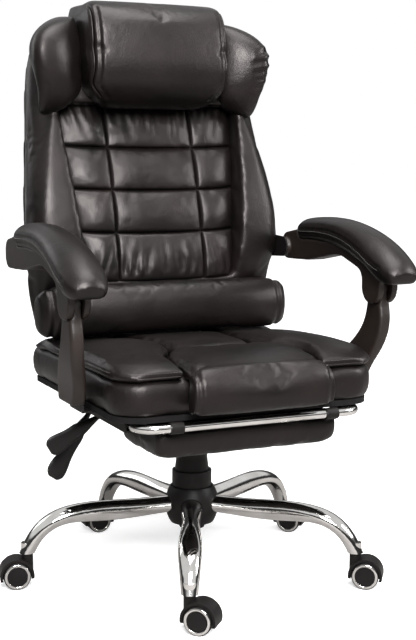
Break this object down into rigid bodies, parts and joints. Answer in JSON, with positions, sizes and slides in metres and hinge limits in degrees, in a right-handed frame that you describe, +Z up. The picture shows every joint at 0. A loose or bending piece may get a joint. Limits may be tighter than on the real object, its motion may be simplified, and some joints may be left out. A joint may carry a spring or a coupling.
{
  "type": "reclining office chair",
  "caption": "High-back executive office chair in dark leather with quilted back, winged headrest, padded linked arms, pull-out footrest, gas lift and wheeled chrome base.",
  "frame": {"origin": "on the floor under the gas lift's axis", "axes": "+Z up; the chair's front faces -Y; +X is to the right as seen from the front"},
  "size_m": [0.7305, 0.7142, 1.124],
  "materials": {
    "leather": "smooth coated leather with a soft sheen",
    "arm_plastic": "satin moulded plastic",
    "chrome": "polished plating",
    "black_plastic": "satin",
    "black_metal": "black powder coat",
    "steel": "turned",
    "board": "plain plywood",
    "lever_plastic": "satin",
    "wheel_plastic": "smooth nylon with a bright ring"
  },
  "bodies": {
    "base": {"base_hub": "black_metal", "base_legs": "chrome", "hub_cover": "black_plastic", "gas_column": "black_metal", "cover_lower": "black_plastic"},
    "lift": {"gas_piston": "steel", "cover_upper": "black_plastic"},
    "seat": {"mechanism_housing": "black_metal", "recline_brackets": "black_metal", "recline_shaft": "steel", "seat_board": "board", "seat_cushion": "leather", "seat_pad_left": "leather", "seat_pad_right": "leather", "seat_pad_front": "leather", "seat_pad_rear": "leather", "footrest_runners": "black_metal", "arm_brackets": "black_metal", "seat_bolts": "steel"},
    "back": {"back_bar": "black_metal", "back_board": "board", "back_shell": "leather", "back_cushion": "leather", "quilted_panel": "leather", "headrest": "leather", "wing_left": "leather", "wing_right": "leather", "lumbar_pillow": "leather", "arm_hinges": "black_metal"},
    "arm_left": {"arm_frame_left": "arm_plastic", "arm_pad_left": "leather"},
    "arm_right": {"arm_frame_right": "arm_plastic", "arm_pad_right": "leather"},
    "upright_left": {"arm_upright_left": "arm_plastic"},
    "upright_right": {"arm_upright_right": "arm_plastic"},
    "footrest_slide_frame": {"footrest_frame": "chrome"},
    "footrest_flap": {"footrest_board": "black_metal", "footrest_pad": "leather"},
    "height_handle": {"height_lever": "lever_plastic"},
    "recline_handle": {"recline_lever": "lever_plastic"},
    "caster_1": {"caster_1_hood": "black_plastic", "caster_1_pins": "steel"},
    "caster_1_wheel_a": {"caster_1_wheel_a": "wheel_plastic"},
    "caster_1_wheel_b": {"caster_1_wheel_b": "wheel_plastic"},
    "caster_2": {"caster_2_hood": "black_plastic", "caster_2_pins": "steel"},
    "caster_2_wheel_a": {"caster_2_wheel_a": "wheel_plastic"},
    "caster_2_wheel_b": {"caster_2_wheel_b": "wheel_plastic"},
    "caster_3": {"caster_3_hood": "black_plastic", "caster_3_pins": "steel"},
    "caster_3_wheel_a": {"caster_3_wheel_a": "wheel_plastic"},
    "caster_3_wheel_b": {"caster_3_wheel_b": "wheel_plastic"},
    "caster_4": {"caster_4_hood": "black_plastic", "caster_4_pins": "steel"},
    "caster_4_wheel_a": {"caster_4_wheel_a": "wheel_plastic"},
    "caster_4_wheel_b": {"caster_4_wheel_b": "wheel_plastic"},
    "caster_5": {"caster_5_hood": "black_plastic", "caster_5_pins": "steel"},
    "caster_5_wheel_a": {"caster_5_wheel_a": "wheel_plastic"},
    "caster_5_wheel_b": {"caster_5_wheel_b": "wheel_plastic"}
  },
  "joints": [
    {"name": "gas_lift", "type": "slide", "parent": "base", "child": "lift", "axis": [0, 0, 1], "range_m": [0, 0.075]},
    {"name": "seat_swivel", "type": "hinge", "parent": "lift", "child": "seat", "pos_m": [0, 0, 0.3], "axis": [0, 0, 1], "continuous": true},
    {"name": "caster_1_swivel", "type": "hinge", "parent": "base", "child": "caster_1", "pos_m": [-0.13659, -0.30041, 0.06], "axis": [0, 0, 1], "continuous": true},
    {"name": "caster_1_spin_a", "type": "hinge", "parent": "caster_1", "child": "caster_1_wheel_a", "pos_m": [-0.12135, -0.31486, 0.026], "axis": [0.6884, 0.7254, 0], "continuous": true},
    {"name": "caster_1_spin_b", "type": "hinge", "parent": "caster_1", "child": "caster_1_wheel_b", "pos_m": [-0.12135, -0.31486, 0.026], "axis": [0.6884, 0.7254, 0], "continuous": true},
    {"name": "caster_2_swivel", "type": "hinge", "parent": "base", "child": "caster_2", "pos_m": [0.2435, -0.22273, 0.06], "axis": [0, 0, 1], "continuous": true},
    {"name": "caster_2_spin_a", "type": "hinge", "parent": "caster_2", "child": "caster_2_wheel_a", "pos_m": [0.26013, -0.23555, 0.026], "axis": [0.6101, 0.7923, 0], "continuous": true},
    {"name": "caster_2_spin_b", "type": "hinge", "parent": "caster_2", "child": "caster_2_wheel_b", "pos_m": [0.26013, -0.23555, 0.026], "axis": [0.6101, 0.7923, 0], "continuous": true},
    {"name": "caster_3_swivel", "type": "hinge", "parent": "base", "child": "caster_3", "pos_m": [0.28708, 0.16275, 0.06], "axis": [0, 0, 1], "continuous": true},
    {"name": "caster_3_spin_a", "type": "hinge", "parent": "caster_3", "child": "caster_3_wheel_a", "pos_m": [0.30236, 0.14835, 0.026], "axis": [0.6858, 0.7278, 0], "continuous": true},
    {"name": "caster_3_spin_b", "type": "hinge", "parent": "caster_3", "child": "caster_3_wheel_b", "pos_m": [0.30236, 0.14835, 0.026], "axis": [0.6858, 0.7278, 0], "continuous": true},
    {"name": "caster_4_swivel", "type": "hinge", "parent": "base", "child": "caster_4", "pos_m": [-0.06607, 0.32332, 0.06], "axis": [0, 0, 1], "continuous": true},
    {"name": "caster_4_spin_a", "type": "hinge", "parent": "caster_4", "child": "caster_4_wheel_a", "pos_m": [-0.08707, 0.32346, 0.026], "axis": [-0.007, -1, 0], "continuous": true},
    {"name": "caster_4_spin_b", "type": "hinge", "parent": "caster_4", "child": "caster_4_wheel_b", "pos_m": [-0.08707, 0.32346, 0.026], "axis": [-0.007, -1, 0], "continuous": true},
    {"name": "caster_5_swivel", "type": "hinge", "parent": "base", "child": "caster_5", "pos_m": [-0.32791, 0.03707, 0.06], "axis": [0, 0, 1], "continuous": true},
    {"name": "caster_5_spin_a", "type": "hinge", "parent": "caster_5", "child": "caster_5_wheel_a", "pos_m": [-0.34853, 0.04104, 0.026], "axis": [-0.1891, -0.982, 0], "continuous": true},
    {"name": "caster_5_spin_b", "type": "hinge", "parent": "caster_5", "child": "caster_5_wheel_b", "pos_m": [-0.34853, 0.04104, 0.026], "axis": [-0.1891, -0.982, 0], "continuous": true},
    {"name": "recline", "type": "hinge", "parent": "seat", "child": "back", "pos_m": [0, 0.238, 0.456], "axis": [-1, 0, 0], "range_deg": [0, 40], "stiffness_Nm_per_rad": 60, "springref_deg": -34.38},
    {"name": "arm_left_hinge", "type": "hinge", "parent": "back", "child": "arm_left", "pos_m": [-0.304, 0.135, 0.63], "axis": [-1, 0, 0], "range_deg": [-40, 0]},
    {"name": "arm_right_hinge", "type": "hinge", "parent": "back", "child": "arm_right", "pos_m": [0.304, 0.135, 0.63], "axis": [-1, 0, 0], "range_deg": [-40, 0]},
    {"name": "upright_left_hinge", "type": "hinge", "parent": "seat", "child": "upright_left", "pos_m": [-0.287, -0.093, 0.398], "axis": [-1, 0, 0], "range_deg": [0, 40]},
    {"name": "upright_right_hinge", "type": "hinge", "parent": "seat", "child": "upright_right", "pos_m": [0.287, -0.093, 0.398], "axis": [-1, 0, 0], "range_deg": [0, 40]},
    {"name": "footrest_slide", "type": "slide", "parent": "seat", "child": "footrest_slide_frame", "axis": [0, -1, 0], "range_m": [0, 0.27]},
    {"name": "footrest_flip", "type": "hinge", "parent": "footrest_slide_frame", "child": "footrest_flap", "pos_m": [0, -0.28, 0.3555], "axis": [-1, 0, 0], "range_deg": [0, 180]},
    {"name": "height_lever_lift", "type": "hinge", "parent": "seat", "child": "height_handle", "pos_m": [-0.107, -0.022, 0.332], "axis": [0, 1, 0], "range_deg": [0, 3.5], "stiffness_Nm_per_rad": 12, "springref_deg": -3.44},
    {"name": "recline_lever_turn", "type": "hinge", "parent": "seat", "child": "recline_handle", "pos_m": [-0.2, 0.026, 0.332], "axis": [-1, 0, 0], "range_deg": [0, 20], "stiffness_Nm_per_rad": 1.5, "springref_deg": -11.46}
  ],
  "couplings": [
    {"joint": "arm_left_hinge", "follows": "recline", "ratio": -1},
    {"joint": "arm_right_hinge", "follows": "recline", "ratio": -1},
    {"joint": "upright_left_hinge", "follows": "recline", "ratio": 1},
    {"joint": "upright_right_hinge", "follows": "recline", "ratio": 1},
    {"joint": "footrest_flip", "follows": "footrest_slide", "rad_per_m": 11.636}
  ]
}
